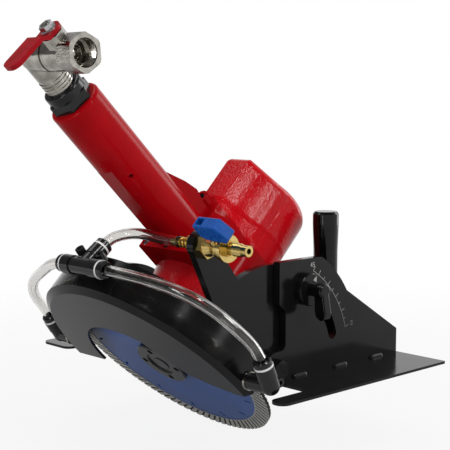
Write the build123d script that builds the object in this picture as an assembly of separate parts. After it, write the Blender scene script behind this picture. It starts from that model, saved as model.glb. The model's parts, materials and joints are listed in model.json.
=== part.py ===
from build123d import *
import math
import os

# Pneumatic wet stone saw on a tilting base. Millimetres.
# x points the way the saw is pushed, y to its left and z up. The sole is z = 0,
# the blade's axis crosses x = 0 and the tilt axis runs along x at y = 0.
# The head is drawn upright and is laid over to its full bevel at the end.

# Tilting base
BEVEL = 45.0
PIVOT_Z = 10.5
SOLE_T = 2.0
BASE_X = (-138.0, 136.0)
BASE_Y = (-42.8, 137.7)
NOTCH_X = (-102.5, 122.0)
NOTCH_Y = -3.7
PLATE_T = 6.0
BRACKET_X = 83.7
BRACKET_TOP = 86.8
BRACKET_ARC = 89.4
SLOT_R = 61.8
SLOT_W = 8.6
STUD_R = 3.0
SCALE_R = 76.5
SCALE_ANGLE = 15.5
POINTER_ANGLE = 16.5
TILT_X = 77.3
SECTOR_R = 74.4
PIVOT_R = 5.0
RUN_GAP = 0.05
GRIP_AT = (55.0, 90.2)
GRIP_R = 10.0
GRIP_TOP = 114.5

# Blade and spindle
AXIS_Z = 28.3
BLADE_R = 90.0
BLADE_Y = -20.6
CORE_R = 78.0
CORE_T = 2.2
RIM_T = 3.0
RIM_GROOVES = 88
NUT_R = 21.5
NUT_FACE_Y = -27.5

# Guard
GUARD_R = 100.0
GUARD_WALL = 2.0
GUARD_BACK = -4.0
GUARD_EDGE = -31.5
GUARD_FACE = -35.0
FACE_R = 94.0
GUARD_CUT_Z = 28.0

# Housings
FLANGE_Y = 37.0
FLANGE_T = 8.0
FLANGE_W = 31.0
FLANGE_TOP = 87.0
BELLY_Z = 3.4
JOINT_Y = 98.0
MOTOR_END = 137.8
END_LEAN = 4.0
BARREL_R = 33.9
RIDGE_H = 49.0
RIDGE_W = 10.8
LINER_R = 22.0
BOLT_RING = 27.0
BOLT_ANGLES = (-20.0, 200.0, 50.0, 130.0)
HANDLE_Y = 57.2
HANDLE_R = 19.0
HANDLE_TOP = 221.5
FLAT_TOP = 168.6
PIN_Z = 157.5

# Air inlet
VALVE_Z = 264.6
VALVE_STEM_X = 36.5
VALVE_END = 55.0
VALVE_BALL = 7.3
VALVE_PORT = 5.0
AIR_THREAD_L = 10.5
LEVER_Z = 282.8

# Water line
HOSE_R = 4.0
HOSE_BORE = 2.75
WATER_Y = 20.8
WATER_Z = 122.8
WATER_STEM_X = 99.0
WATER_TAIL_X = 59.0
WATER_END_X = 126.0
TEE_X = 3.4
TEE_Y = -20.8
TEE_Z = 137.8
TEE_TURN = -9.0
TEE_RUN = 20.0
TEE_BRANCH = 18.3
PORT_R = 6.9
RING_L = 1.4
COLLAR_L = 4.2
ELBOW_H = 15.5
FRONT_ELBOW = (120.5, -27.1, 38.0)
FRONT_TURN = 21.0
REAR_ELBOW = (-116.5, -27.1, 38.0)
REAR_TURN = 10.0

UPRIGHT = (Align.CENTER, Align.CENTER, Align.MIN)
SPIN_PLANE = Plane(origin=(0, 0, AXIS_Z), x_dir=(0, 0, 1), z_dir=(-1, 0, 0))
SPIN_AXIS = Axis((0, 0, AXIS_Z), (0, 1, 0))


def rod_x(x0, x1, y, z, r):
    return Pos(x0, y, z) * Rot(0, 90, 0) * Cylinder(r, x1 - x0, align=UPRIGHT)


def rod_y(y0, y1, x, z, r):
    return Pos(x, y0, z) * Rot(-90, 0, 0) * Cylinder(r, y1 - y0, align=UPRIGHT)


def rod_z(z0, z1, x, y, r):
    return Pos(x, y, z0) * Cylinder(r, z1 - z0, align=UPRIGHT)


def hexagon(flats, length):
    return extrude(RegularPolygon(flats / 2, 6, major_radius=False), length)


def box(x0, x1, y0, y1, z0, z1):
    return Pos(x0, y0, z0) * Box(x1 - x0, y1 - y0, z1 - z0, align=(Align.MIN, Align.MIN, Align.MIN))


def plate_x(sketch, x0, x1):
    # A sketch drawn in y and z, thickened along x
    plane = Plane(origin=(x0, 0, 0), x_dir=(0, 1, 0), z_dir=(1, 0, 0))
    return extrude(plane * sketch, x1 - x0, dir=(1, 0, 0))


def plate_y(sketch, y0, y1):
    # A sketch drawn in x and z, thickened along y
    plane = Plane(origin=(0, y0, 0), x_dir=(1, 0, 0), z_dir=(0, -1, 0))
    return extrude(plane * sketch, y1 - y0, dir=(0, 1, 0))


def turned(points):
    # Radius and y of a profile spun about the blade's axis
    return revolve(SPIN_PLANE * make_face(Polyline(*points, close=True)), SPIN_AXIS, 360)


def about_pivot(radius, degrees):
    a = math.radians(degrees)
    return (radius * math.cos(a), PIVOT_Z + radius * math.sin(a))


def ring_points(radius, angles):
    # x and z of holes on a circle about the blade's axis
    points = []
    for angle in angles:
        a = math.radians(angle)
        points.append((radius * math.cos(a), AXIS_Z + radius * math.sin(a)))
    return points


# Base group

def base_plate():
    x0, x1 = BASE_X
    y0, y1 = BASE_Y
    outline = make_face(Polyline(
        (x0, y0), (NOTCH_X[0], y0), (NOTCH_X[0], NOTCH_Y), (NOTCH_X[1], NOTCH_Y),
        (NOTCH_X[1], y0), (x1, y0), (x1, y1), (x0, y1), close=True))
    tips = [v for v in outline.vertices() if v.Y < y0 + 1]
    outline = fillet(tips, 6.8)
    inner = [v for v in outline.vertices() if abs(v.Y - NOTCH_Y) < 0.5]
    outline = fillet(inner, 5.0)
    outer = [v for v in outline.vertices() if v.Y > y1 - 1]
    return extrude(fillet(outer, 1.0), SOLE_T)


def bracket_outline():
    step = about_pivot(BRACKET_ARC, 32.5)
    shoulder = about_pivot(BRACKET_ARC, 58.0)
    foot = 136.2
    ear = 12.3
    ear_top = PIVOT_Z + ear
    edges = Polyline((0 - ear, SOLE_T), (0 - ear, PIVOT_Z))
    edges += ThreePointArc((0 - ear, PIVOT_Z), about_pivot(ear, 135), (0, ear_top))
    edges += Line((0, ear_top), (3.7, ear_top))
    edges += ThreePointArc((3.7, ear_top), (7.24, ear_top + 1.46), (8.7, ear_top + 5))
    edges += Polyline((8.7, ear_top + 5), (8.7, 50.7), (2.2, 56.4), (2.2, BRACKET_TOP))
    edges += Polyline((2.2, BRACKET_TOP), (42.0, BRACKET_TOP), shoulder)
    edges += ThreePointArc(shoulder, about_pivot(BRACKET_ARC, 45), step)
    edges += Polyline(step, (foot, 21.0), (foot, SOLE_T), (0 - ear, SOLE_T))
    return make_face(edges)


def scale_bracket():
    plate = plate_x(bracket_outline(), BRACKET_X, BRACKET_X + PLATE_T)
    slot = SlotArc(CenterArc((0, PIVOT_Z), SLOT_R, POINTER_ANGLE, BEVEL), SLOT_W)
    plate -= plate_x(slot, BRACKET_X - 1, BRACKET_X + PLATE_T + 1)
    return plate - rod_x(BRACKET_X - 1, BRACKET_X + PLATE_T + 1, 0, PIVOT_Z, PIVOT_R)


def stroke(a, b, width):
    # One straight pen stroke
    mid = ((a[0] + b[0]) / 2, (a[1] + b[1]) / 2)
    angle = math.degrees(math.atan2(b[1] - a[1], b[0] - a[0]))
    return Pos(*mid) * Rot(0, 0, angle) * Rectangle(math.dist(a, b) + width, width)


def digit(name, at, size, width):
    # Plain stroke numerals on a cell half as wide as it is high
    cell = {
        "0": [(0, 0), (0.5, 0), (0.5, 1), (0, 1), (0, 0)],
        "4": [(0.4, 0), (0.4, 1), (0, 0.35), (0.55, 0.35)],
        "5": [(0.5, 1), (0, 1), (0, 0.55), (0.5, 0.55), (0.5, 0), (0, 0)],
    }[name]
    points = [(at[0] + size * u, at[1] + size * w) for u, w in cell]
    mark = Sketch()
    for a, b in zip(points, points[1:]):
        mark += stroke(a, b, width)
    return mark


def scale_marks():
    # White bevel scale printed on the bracket's front face
    pen, size = 0.4, 3.0
    line = SlotArc(CenterArc((0, PIVOT_Z), SCALE_R, SCALE_ANGLE, BEVEL), pen)
    for i in range(10):
        angle = SCALE_ANGLE + 5 * i
        length = 3.6 if i % 2 == 0 or i == 9 else 2.0
        line += stroke(about_pivot(SCALE_R, angle), about_pivot(SCALE_R + length, angle), pen)
    line += digit("4", (34.6, 80.3), size, pen)
    line += digit("5", (37.1, 80.3), size, pen)
    line += digit("0", (80.3, 31.4), size, pen)
    front = BRACKET_X + PLATE_T
    return plate_x(line, front, front + 0.15)


def weld_bead(x, y, side, length=10.0, leg=2.4):
    # Fillet bead where an upright plate meets the base
    bead = Pos(x, y - length / 2, SOLE_T) * Rot(-90, 0, 0) * Cylinder(leg, length, align=UPRIGHT)
    bead += Pos(x, y - length / 2, SOLE_T) * Sphere(leg)
    bead += Pos(x, y + length / 2, SOLE_T) * Sphere(leg)
    x0, x1 = (x, x + 9) if side > 0 else (x - 9, x)
    return bead & box(x0, x1, y - length, y + length, SOLE_T, SOLE_T + 9)


def bracket_welds():
    front = BRACKET_X + PLATE_T
    return [weld_bead(front, y, 1) for y in (23.0, 68.0, 110.5)]


def rear_bracket():
    ear = 12.3
    edges = Polyline((0 - ear, SOLE_T), (0 - ear, PIVOT_Z))
    edges += ThreePointArc((0 - ear, PIVOT_Z), about_pivot(ear, 135), (0, PIVOT_Z + ear))
    edges += Polyline((0, PIVOT_Z + ear), (62.0, PIVOT_Z + ear), (80.0, SOLE_T), (0 - ear, SOLE_T))
    plate = plate_x(make_face(edges), 0 - BRACKET_X - PLATE_T, 0 - BRACKET_X)
    return plate - rod_x(0 - BRACKET_X - PLATE_T - 1, 0 - BRACKET_X + 1, 0, PIVOT_Z, PIVOT_R)


def rear_welds():
    back = 0 - BRACKET_X - PLATE_T
    return [weld_bead(back, y, -1) for y in (18.0, 58.0)]


def pivot_bolt(side):
    # Hex-headed shoulder bolt, its head outside the bracket
    outer = BRACKET_X + PLATE_T
    shank = rod_x(TILT_X - 7.5, outer, 0, PIVOT_Z, PIVOT_R)
    head = Pos(outer, 0, PIVOT_Z) * Rot(0, 90, 0) * hexagon(13.0, 5.2)
    bolt = shank + head
    return bolt if side > 0 else mirror(bolt, Plane.YZ)


def pivot_nut(side):
    nut = Pos(TILT_X - 6.9, 0, PIVOT_Z) * Rot(0, 90, 0) * Rot(0, 0, 30) * hexagon(15.0, 6.4)
    nut -= rod_x(TILT_X - 8, TILT_X, 0, PIVOT_Z, PIVOT_R)
    return nut if side > 0 else mirror(nut, Plane.YZ)


def handle_foot():
    x, y = GRIP_AT
    foot = rod_z(SOLE_T, SOLE_T + 5, x, y, 17.0)
    foot += rod_z(SOLE_T + 5, SOLE_T + 12, x, y, 11.0)
    return foot - rod_z(SOLE_T + 2, SOLE_T + 13, x, y, 5.0)


def handle_core():
    x, y = GRIP_AT
    return rod_z(SOLE_T + 2, GRIP_TOP - 6, x, y, 5.0)


def auxiliary_handle():
    # Upright grip, a touch wider at its capped top
    x, y = GRIP_AT
    r = GRIP_R
    z0 = SOLE_T + 12
    section = make_face(Polyline(
        (5.0, z0), (r + 1.5, z0), (r + 1.5, z0 + 4), (r - 0.7, z0 + 9), (r - 0.6, GRIP_TOP - 30),
        (r + 0.1, GRIP_TOP - 10), (r + 0.1, GRIP_TOP - 2), (r - 1.4, GRIP_TOP), (0, GRIP_TOP),
        (0, GRIP_TOP - 6), (5.0, GRIP_TOP - 6), close=True))
    return Pos(x, y, 0) * revolve(Plane.XZ * section, Axis.Z, 360)


# Tilting plates and the bevel lock

def tilt_plate():
    # A sector for the bevel lock, with a tab above it that carries the water valve
    left = GUARD_BACK
    eye = 10.0
    ear = 8.0
    low = about_pivot(SECTOR_R, -5.8)
    high = about_pivot(SECTOR_R, 71.0)
    turn = math.radians(10.0)
    eye_left = (WATER_Y - eye * math.cos(turn), WATER_Z + eye * math.sin(turn))
    eye_right = (WATER_Y + eye * math.cos(turn), WATER_Z - eye * math.sin(turn))
    edges = ThreePointArc((0, PIVOT_Z - ear), (0 - ear, PIVOT_Z), (-4.6, PIVOT_Z + 6.55))
    edges += Polyline((-4.6, PIVOT_Z + 6.55), (left, 27.0), (left, 80.0), (-1.0, 90.0), eye_left)
    edges += ThreePointArc(eye_left, (WATER_Y, WATER_Z + eye), eye_right)
    edges += Polyline(eye_right, (26.4, 96.3), high)
    edges += ThreePointArc(high, about_pivot(SECTOR_R, 30), low)
    edges += Polyline(low, (low[0], PIVOT_Z - ear + 0.4), (0, PIVOT_Z - ear))
    plate = plate_x(make_face(edges), TILT_X, TILT_X + PLATE_T)
    plate -= rod_x(TILT_X - 1, TILT_X + PLATE_T + 1, 0, PIVOT_Z, PIVOT_R + RUN_GAP)
    plate -= rod_x(TILT_X - 1, TILT_X + PLATE_T + 1, WATER_Y, WATER_Z, 5.1)
    y, z = about_pivot(SLOT_R, POINTER_ANGLE)
    return plate - rod_x(TILT_X - 1, TILT_X + PLATE_T + 1, y, z, STUD_R)


def rear_tilt_plate():
    ear = 8.0
    r = 58.0
    low = about_pivot(r, -7.5)
    high = (GUARD_BACK, PIVOT_Z + math.sqrt(r * r - GUARD_BACK * GUARD_BACK))
    edges = ThreePointArc((0, PIVOT_Z - ear), (0 - ear, PIVOT_Z), (-4.6, PIVOT_Z + 6.55))
    edges += Polyline((-4.6, PIVOT_Z + 6.55), (GUARD_BACK, 27.0), high)
    edges += ThreePointArc(high, about_pivot(r, 40), low)
    edges += Polyline(low, (low[0], PIVOT_Z - ear + 0.4), (0, PIVOT_Z - ear))
    plate = plate_x(make_face(edges), 0 - TILT_X - PLATE_T, 0 - TILT_X)
    return plate - rod_x(0 - TILT_X - PLATE_T - 1, 1 - TILT_X, 0, PIVOT_Z, PIVOT_R + RUN_GAP)


def lock_stud():
    y, z = about_pivot(SLOT_R, POINTER_ANGLE)
    return rod_x(TILT_X, 104.0, y, z, STUD_R)


def pointer_disc():
    y, z = about_pivot(SLOT_R, POINTER_ANGLE)
    front = BRACKET_X + PLATE_T + 0.3
    disc = rod_x(front, front + 5.5, y, z, 11.9)
    disc = chamfer(disc.edges().filter_by(GeomType.CIRCLE).group_by(Axis.X)[-1], 0.6)
    return disc - rod_x(front - 1, front + 7, y, z, STUD_R)


def pointer_mark():
    # White index triangle on the disc, its tip at the scale
    front = BRACKET_X + PLATE_T + 0.3 + 5.5
    tip = about_pivot(SLOT_R + 10.8, POINTER_ANGLE)
    left = about_pivot(SLOT_R + 6.8, POINTER_ANGLE + 1.7)
    right = about_pivot(SLOT_R + 6.8, POINTER_ANGLE - 1.7)
    return plate_x(make_face(Polyline(tip, left, right, close=True)), front, front + 0.15)


def lock_lever():
    # Threaded hub whose arm widens downwards and hangs straight down when the head lies over
    y, z = about_pivot(SLOT_R, POINTER_ANGLE)
    hub = rod_x(96.0, 102.0, 0, 0, 4.4) + fillet(rod_x(100.4, 109.0, 0, 0, 5.8).edges(), 1.8)
    side = make_face(Polyline(
        (100.8, 1.0), (108.6, 1.0), (111.8, -15.5), (110.4, -19.8), (106.4, -21.0), (102.4, -18.6),
        (101.0, -14.0), close=True))
    arm = fillet(plate_y(side, -3.6, 3.6).edges(), 1.2)
    lever = hub + arm - rod_x(95.0, 104.0, 0, 0, STUD_R + RUN_GAP)
    return Pos(0, y, z) * Rot(0 - BEVEL, 0, 0) * lever


# Guard

def blade_guard():
    back, edge, face = GUARD_BACK, GUARD_EDGE, GUARD_FACE
    r, w = GUARD_R, GUARD_WALL
    shell = turned([
        (24.0, back), (r, back), (r, edge), (FACE_R, face), (43.0, face), (43.0, face + w),
        (FACE_R - 0.8, face + w), (r - w, edge + 0.9), (r - w, back - w), (24.0, back - w)])
    upper = box(-120, 120, -60, 10, GUARD_CUT_Z, AXIS_Z + 120)
    hub = turned([(24.0, back), (46.0, back), (46.0, back - w), (24.0, back - w)])
    shell = (shell & upper) + (hub & box(-60, 60, -60, 10, 5.6, 80))
    # Opening over the blade: a round back end, then a straight edge falling to the front
    edges = Polyline((-61.0, 20.0), (-61.0, AXIS_Z))
    edges += ThreePointArc((-61.0, AXIS_Z), (-47.0, 66.0), (-19.0, 80.0))
    edges += ThreePointArc((-19.0, 80.0), (2.0, 79.3), (20.4, 73.0))
    edges += Polyline((20.4, 73.0), (45.6, 39.7), (66.0, 32.0), (91.0, 27.0), (91.0, 20.0), (-61.0, 20.0))
    return shell - plate_y(make_face(edges), face - 1, face + w + 1)


def guard_screw_points():
    return ring_points(36.0, (12.0, 62.0, 118.0, 168.0))


def guard_screws():
    screws = []
    for x, z in guard_screw_points():
        screw = rod_y(GUARD_BACK - GUARD_WALL - 3, GUARD_BACK - GUARD_WALL, x, z, 4.2)
        screw += rod_y(GUARD_BACK - GUARD_WALL, GUARD_BACK + 9, x, z, 2.5)
        screws.append(screw)
    return screws


# Blade and spindle

def spindle():
    return turned([
        (0, -27.0), (6.4, -27.0), (7.0, -26.4), (7.0, -13.5), (10.5, -13.5), (10.5, 2.0), (8.5, 2.0),
        (8.5, 56.3), (7.5, 56.3), (7.5, 133.8), (6.9, 134.4), (0, 134.4)])


def inner_flange():
    top = BLADE_Y + CORE_T / 2
    return turned([
        (7.0, top - 2.0), (11.1, top - 2.0), (11.1, top), (15.0, top + 0.6), (15.6, top), (NUT_R, top),
        (NUT_R, top + 4.0), (19.0, -13.5), (7.0, -13.5)])


def blade_core():
    half = CORE_T / 2
    core = ring(BLADE_Y - half, BLADE_Y + half, 11.1, CORE_R)
    # Slanted cooling slots just inside the rim
    slot = Rot(0, -25, 0) * Rot(-90, 0, 0) * extrude(SlotOverall(6.2, 2.4), 6)
    slot = Pos(0, BLADE_Y - 3, 72.0) * Rot(0, 90, 0) * slot
    cutters = []
    for i in range(14):
        cutters.append(Pos(0, 0, AXIS_Z) * Rot(0, 360.0 * i / 14 - 7.66, 0) * slot)
    return core - cutters


def diamond_rim():
    # Continuous rim with slanted turbo grooves across both faces
    half = RIM_T / 2
    rim = ring(BLADE_Y - half, BLADE_Y + half, CORE_R, BLADE_R)
    grooves = []
    for i in range(RIM_GROOVES):
        for side, lean in ((-1, 32), (1, -32)):
            groove = Pos(0, BLADE_Y + side * half, BLADE_R - 4.5) * Rot(0, lean, 0) * Box(1.7, 1.2, 16.0)
            grooves.append(Pos(0, 0, AXIS_Z) * Rot(0, 360.0 * i / RIM_GROOVES + 2 * side, 0) * groove)
    return rim - grooves


def flange_nut():
    top = BLADE_Y - CORE_T / 2
    face = NUT_FACE_Y
    nut = turned([
        (7.0, top), (NUT_R, top), (NUT_R, face + 1.0), (NUT_R - 1.0, face), (12.5, face), (11.5, face + 1.2),
        (7.0, face + 1.2)])
    for x, z in ring_points(16.5, (-5.0, 85.0, 175.0, 265.0)):
        nut -= rod_y(face - 1, face + 4.5, x, z, 2.5)
    return nut


def bearing(y0, y1, r_in, r_out):
    mid = (r_in + r_out) / 2
    step = (r_out - r_in) / 5
    low, high = mid - step, mid + step
    return turned([
        (r_in, y0), (low, y0), (low, y0 + 0.5), (high, y0 + 0.5), (high, y0), (r_out, y0),
        (r_out, y1), (high, y1), (high, y1 - 0.5), (low, y1 - 0.5), (low, y1), (r_in, y1)])


def ring(y0, y1, r_in, r_out):
    return turned([(r_in, y0), (r_out, y0), (r_out, y1), (r_in, y1)])


def motor_liner():
    # Cylinder whose bore sits off centre from the rotor
    liner = rod_y(56.0, 118.0, 0, AXIS_Z, LINER_R) - rod_y(55.0, 119.0, 0, AXIS_Z + 1.5, 19.0)
    return liner - rod_z(AXIS_Z, AXIS_Z + 40, 0, HANDLE_Y + 4, 4.0)


def rotor():
    body = ring(56.3, 117.7, 7.5, 16.4)
    slots = []
    for i in range(5):
        slot = box(-1.55, 1.55, 50, 125, 9.8, 22)
        slots.append(Pos(0, 0, AXIS_Z) * Rot(0, 72.0 * i, 0) * slot)
    return body - slots


def rotor_vanes():
    vanes = []
    for i in range(5):
        vane = box(-1.5, 1.5, 56.5, 117.5, 10.0, 16.2)
        vanes.append(Pos(0, 0, AXIS_Z) * Rot(0, 72.0 * i, 0) * vane)
    return vanes


# Red housings

def above_belly(body):
    # The castings are flat underneath, so that they clear the base when upright
    return body & box(-150, 150, -60, 200, BELLY_Z, 400)


def bolt_points():
    return ring_points(BOLT_RING, BOLT_ANGLES)


def spindle_housing():
    # Cast neck between the guard and the handle housing
    neck = turned([
        (20.0, GUARD_BACK), (46.0, GUARD_BACK), (46.0, 0.0), (43.5, 9.0), (42.8, 18.0), (43.6, 28.0),
        (45.0, FLANGE_Y), (16.0, FLANGE_Y), (16.0, 14.0), (20.0, 14.0)])
    body = above_belly(neck)
    for x, z in bolt_points():
        body -= rod_y(20.0, FLANGE_Y + 1, x, z, 2.5)
    for x, z in guard_screw_points():
        body -= rod_y(GUARD_BACK - 1, GUARD_BACK + 11, x, z, 2.5)
    return body


def barrel_outline(grow=0.0):
    # Round barrel with a flat-topped ridge over its air passage
    r = BARREL_R + grow
    top = AXIS_Z + RIDGE_H + grow
    side = math.radians(20.0)
    x, z = r * math.cos(side), AXIS_Z + r * math.sin(side)
    ridge = make_face(Polyline(
        (0 - x, z), (x, z), (RIDGE_W + grow, top), (0 - RIDGE_W - grow, top), close=True))
    return Pos(0, AXIS_Z) * Circle(r) + ridge


def oil_port():
    # x and y of the oil port at the foot of the fin
    return (0.0, JOINT_Y - 9.4)


def plug_points():
    return [(-24.5, FLANGE_Y + 3.8), (0.0, FLANGE_Y + 3.8), (24.5, FLANGE_Y + 3.8)]


def handle_housing():
    flange = make_face(Polyline(
        (0 - FLANGE_W, -10.0), (FLANGE_W, -10.0), (FLANGE_W, FLANGE_TOP), (0 - FLANGE_W, FLANGE_TOP),
        close=True))
    flange = fillet(flange.vertices(), 3.0)
    body = plate_y(barrel_outline(-0.4), FLANGE_Y + FLANGE_T, JOINT_Y)
    body += plate_y(flange, FLANGE_Y, FLANGE_Y + FLANGE_T)
    tube = rod_z(AXIS_Z, HANDLE_TOP, 0, HANDLE_Y, HANDLE_R)
    body += fillet(tube.edges().group_by(Axis.Z)[-1], 2.4)
    # Fin behind the handle and the boss of the oil port
    fin = make_face(Polyline(
        (HANDLE_Y, 60.0), (86.0, 60.0), (86.0, 90.0), (87.6, 97.0), (84.0, 110.2), (78.6, 123.3),
        (74.0, 134.5), (HANDLE_Y, 134.5), close=True))
    body += plate_x(fin, -5.0, 5.0)
    port_x, port_y = oil_port()
    body += rod_z(60.0, 87.0, port_x, port_y, 6.2)
    body = above_belly(body)
    # Motor room, spindle hole and the air way down the handle
    body -= rod_y(50.0, JOINT_Y + 1, 0, AXIS_Z, LINER_R)
    body -= rod_y(FLANGE_Y - 1, 51.0, 0, AXIS_Z, 12.0)
    body -= rod_z(AXIS_Z, HANDLE_TOP + 1, 0, HANDLE_Y, 7.0)
    body -= rod_z(HANDLE_TOP - 18, HANDLE_TOP + 1, 0, HANDLE_Y, 12.0)
    body -= rod_z(72.0, 88.0, port_x, port_y, 3.7)
    # Flat down the side that looks towards the guard, and a stepped pin hole beside it
    body -= box(-12, 12, HANDLE_Y - 30, HANDLE_Y + 2.0 - HANDLE_R, FLANGE_TOP, FLAT_TOP)
    pin = Pos(0, HANDLE_Y, PIN_Z) * Rot(0, 0, -35) * Rot(0, 90, 0)
    body -= pin * Pos(0, 0, HANDLE_R - 1.0) * Cylinder(2.2, 3.0, align=UPRIGHT)
    body -= pin * Pos(0, 0, HANDLE_R - 5.0) * Cylinder(1.3, 6.0, align=UPRIGHT)
    for x, y in plug_points():
        body -= rod_z(FLANGE_TOP - 9, FLANGE_TOP + 1, x, y, 3.0)
    for x, z in bolt_points():
        body -= rod_y(FLANGE_Y - 1, JOINT_Y + 1, x, z, 2.5)
    return body


def passage_plugs():
    # Socket set screws that close the drilled air ways in the flange
    plugs = []
    for x, y in plug_points():
        plug = rod_z(FLANGE_TOP - 9, FLANGE_TOP - 1.2, x, y, 3.0)
        plugs.append(plug - Pos(x, y, FLANGE_TOP - 4) * hexagon(3.0, 4))
    return plugs


def oil_plug():
    x, y = oil_port()
    return rod_z(72.0, 86.2, x, y, 3.7) - Pos(x, y, 83.4) * hexagon(4.0, 4)


def motor_housing():
    # Its end leans out towards the ridge
    body = plate_y(barrel_outline(), JOINT_Y, MOTOR_END + 8)
    body -= Pos(0, MOTOR_END, AXIS_Z) * Rot(0 - END_LEAN, 0, 0) * box(-80, 80, 0, 40, -80, 80)
    body = fillet(body.faces().sort_by(Axis.Y)[-1].edges(), 8.0)
    body = above_belly(body)
    body -= rod_y(JOINT_Y - 1, 124.0, 0, AXIS_Z, LINER_R)
    body -= rod_y(123.0, 134.8, 0, AXIS_Z, 16.0)
    for x, z in bolt_points():
        body -= rod_y(JOINT_Y - 1, MOTOR_END + 1, x, z, 2.5)
        body -= rod_y(MOTOR_END - 9.0, MOTOR_END + 1, x, z, 4.4)
    # Exhaust holes in the end
    for x, z in ring_points(19.5, range(30, 390, 60)):
        body -= rod_y(120.0, MOTOR_END + 1, x, z, 2.6)
    return body


def motor_bolts():
    # Long bolts that clamp motor, handle housing and spindle housing together
    bolts = []
    for x, z in bolt_points():
        bolt = rod_y(22.0, MOTOR_END - 9.0, x, z, 2.5) + rod_y(MOTOR_END - 9.0, MOTOR_END - 4.2, x, z, 4.2)
        bolts.append(bolt - Pos(x, MOTOR_END - 6.8, z) * Rot(-90, 0, 0) * hexagon(4.0, 3))
    return bolts


# Air inlet at the top of the handle

def inlet_bushing():
    # Hexagon, round collar and the female thread that takes the elbow
    y = HANDLE_Y
    body = rod_z(HANDLE_TOP - 18, HANDLE_TOP, 0, y, 12.0)
    body += Pos(0, y, HANDLE_TOP) * Rot(0, 0, 15) * hexagon(28.0, 7.5)
    collar = rod_z(HANDLE_TOP + 7, HANDLE_TOP + 14.5, 0, y, 14.4)
    body += fillet(collar.edges().group_by(Axis.Z)[-1], 1.8)
    body -= rod_z(HANDLE_TOP - 19, HANDLE_TOP + 15, 0, y, 7.0)
    return body - rod_z(HANDLE_TOP + 3, HANDLE_TOP + 15, 0, y, 10.2)


def inlet_elbow():
    # Street elbow: male thread down into the bushing, female side forwards
    y, z = HANDLE_Y, VALVE_Z
    body = rod_z(HANDLE_TOP + 3, z - 14, 0, y, 10.2)
    for i in range(4):
        body += rod_z(HANDLE_TOP + 15.3 + 2.5 * i, HANDLE_TOP + 16.9 + 2.5 * i, 0, y, 10.9)
    body += rod_z(z - 16, z, 0, y, 10.6) + Pos(0, y, z) * Sphere(11.0)
    body += Pos(0, y, z) * Rot(0, 90, 0) * Cone(11.0, 11.8, 20.0, align=UPRIGHT)
    body -= rod_z(HANDLE_TOP, z, 0, y, 6.5)
    return body - Pos(0, y, z) * Sphere(6.5) - rod_x(0, 21, y, z, 6.5)


def air_valve_body():
    # Straight ball valve with a hexagonal female end and an eight-sided stem boss
    y, z = HANDLE_Y, VALVE_Z
    body = rod_x(20.0, 22.0, y, z, 10.8) + rod_x(22.0, VALVE_END - 13, y, z, 11.8)
    mouth = hexagon(24.2, 15.0) & Cylinder(13.2, 15.0, align=UPRIGHT)
    body += Pos(VALVE_END - 15, y, z) * Rot(0, 90, 0) * Rot(0, 0, 20) * mouth
    boss = extrude(RegularPolygon(7.4, 8, major_radius=False, rotation=22.5), LEVER_Z - 0.8 - z)
    body += Pos(VALVE_STEM_X, y, z) * boss
    body -= rod_x(19, VALVE_END, y, z, VALVE_PORT)
    body -= Pos(VALVE_STEM_X, y, z) * Sphere(VALVE_BALL + 0.1)
    body -= rod_x(VALVE_END - AIR_THREAD_L, VALVE_END + 1, y, z, 9.5)
    return body - rod_z(z, LEVER_Z, VALVE_STEM_X, y, 3.0 + RUN_GAP)


def air_valve_stem():
    # Ball turned across the port, so that the valve is shut
    y, z = HANDLE_Y, VALVE_Z
    ball = Pos(VALVE_STEM_X, y, z) * Sphere(VALVE_BALL) - rod_y(y - 12, y + 12, VALVE_STEM_X, z, VALVE_PORT)
    return ball + rod_z(z + 6.0, LEVER_Z + 7.2, VALVE_STEM_X, y, 3.0)


def air_valve_lever():
    # Flat lever dipped in red vinyl, cranked up a little beyond the hub and square to the shut valve
    y, z = HANDLE_Y, LEVER_Z
    tip = 18.0
    side = make_face(Polyline(
        (y + 8, z), (y + 8, z + 2.4), (y - 7, z + 2.4), (y - 11.5, z + 6.6), (tip, z + 7.6), (tip, z + 4.4),
        (y - 11, z + 3.4), (y - 7.5, z), close=True))
    plan = Pos(VALVE_STEM_X, y) * Circle(8.0)
    plan += Pos(VALVE_STEM_X, (tip + y) / 2) * Rectangle(15.0, y - tip)
    plan = fillet(plan.vertices().group_by(Axis.Y)[0], 6.0)
    lever = plate_x(side, VALVE_STEM_X - 8, VALVE_STEM_X + 8) & extrude(Pos(0, 0, z - 5) * plan, 20)
    return lever - rod_z(z - 10, z + 20, VALVE_STEM_X, y, 3.0)


def air_lever_nut():
    # Hexagon nut on a plain washer
    y, z = HANDLE_Y, LEVER_Z + 2.4
    nut = rod_z(z, z + 1.0, VALVE_STEM_X, y, 5.5)
    nut += Pos(VALVE_STEM_X, y, z + 1.0) * Rot(0, 0, 10) * hexagon(8.5, 3.4)
    return nut - rod_z(z - 1, z + 7, VALVE_STEM_X, y, 3.0)


# Water valve on the tilt plate

def barb(x0, x1, r):
    # Hose tail with saw-tooth rings and a plain nose, pointing along +x
    step = (x1 - 5.0 - x0) / 4
    tail = rod_x(x0, x1, WATER_Y, WATER_Z, r - 0.5)
    for i in range(1, 4):
        at = x0 + step * i
        tail += Pos(at, WATER_Y, WATER_Z) * Rot(0, 90, 0) * Cone(r + 0.3, r - 0.5, step, align=UPRIGHT)
    return tail


def waist(x0, x1, r0, r1):
    # Cone about the water valve's axis
    return Pos(x0, WATER_Y, WATER_Z) * Rot(0, 90, 0) * Cone(r0, r1, x1 - x0, align=UPRIGHT)


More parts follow.
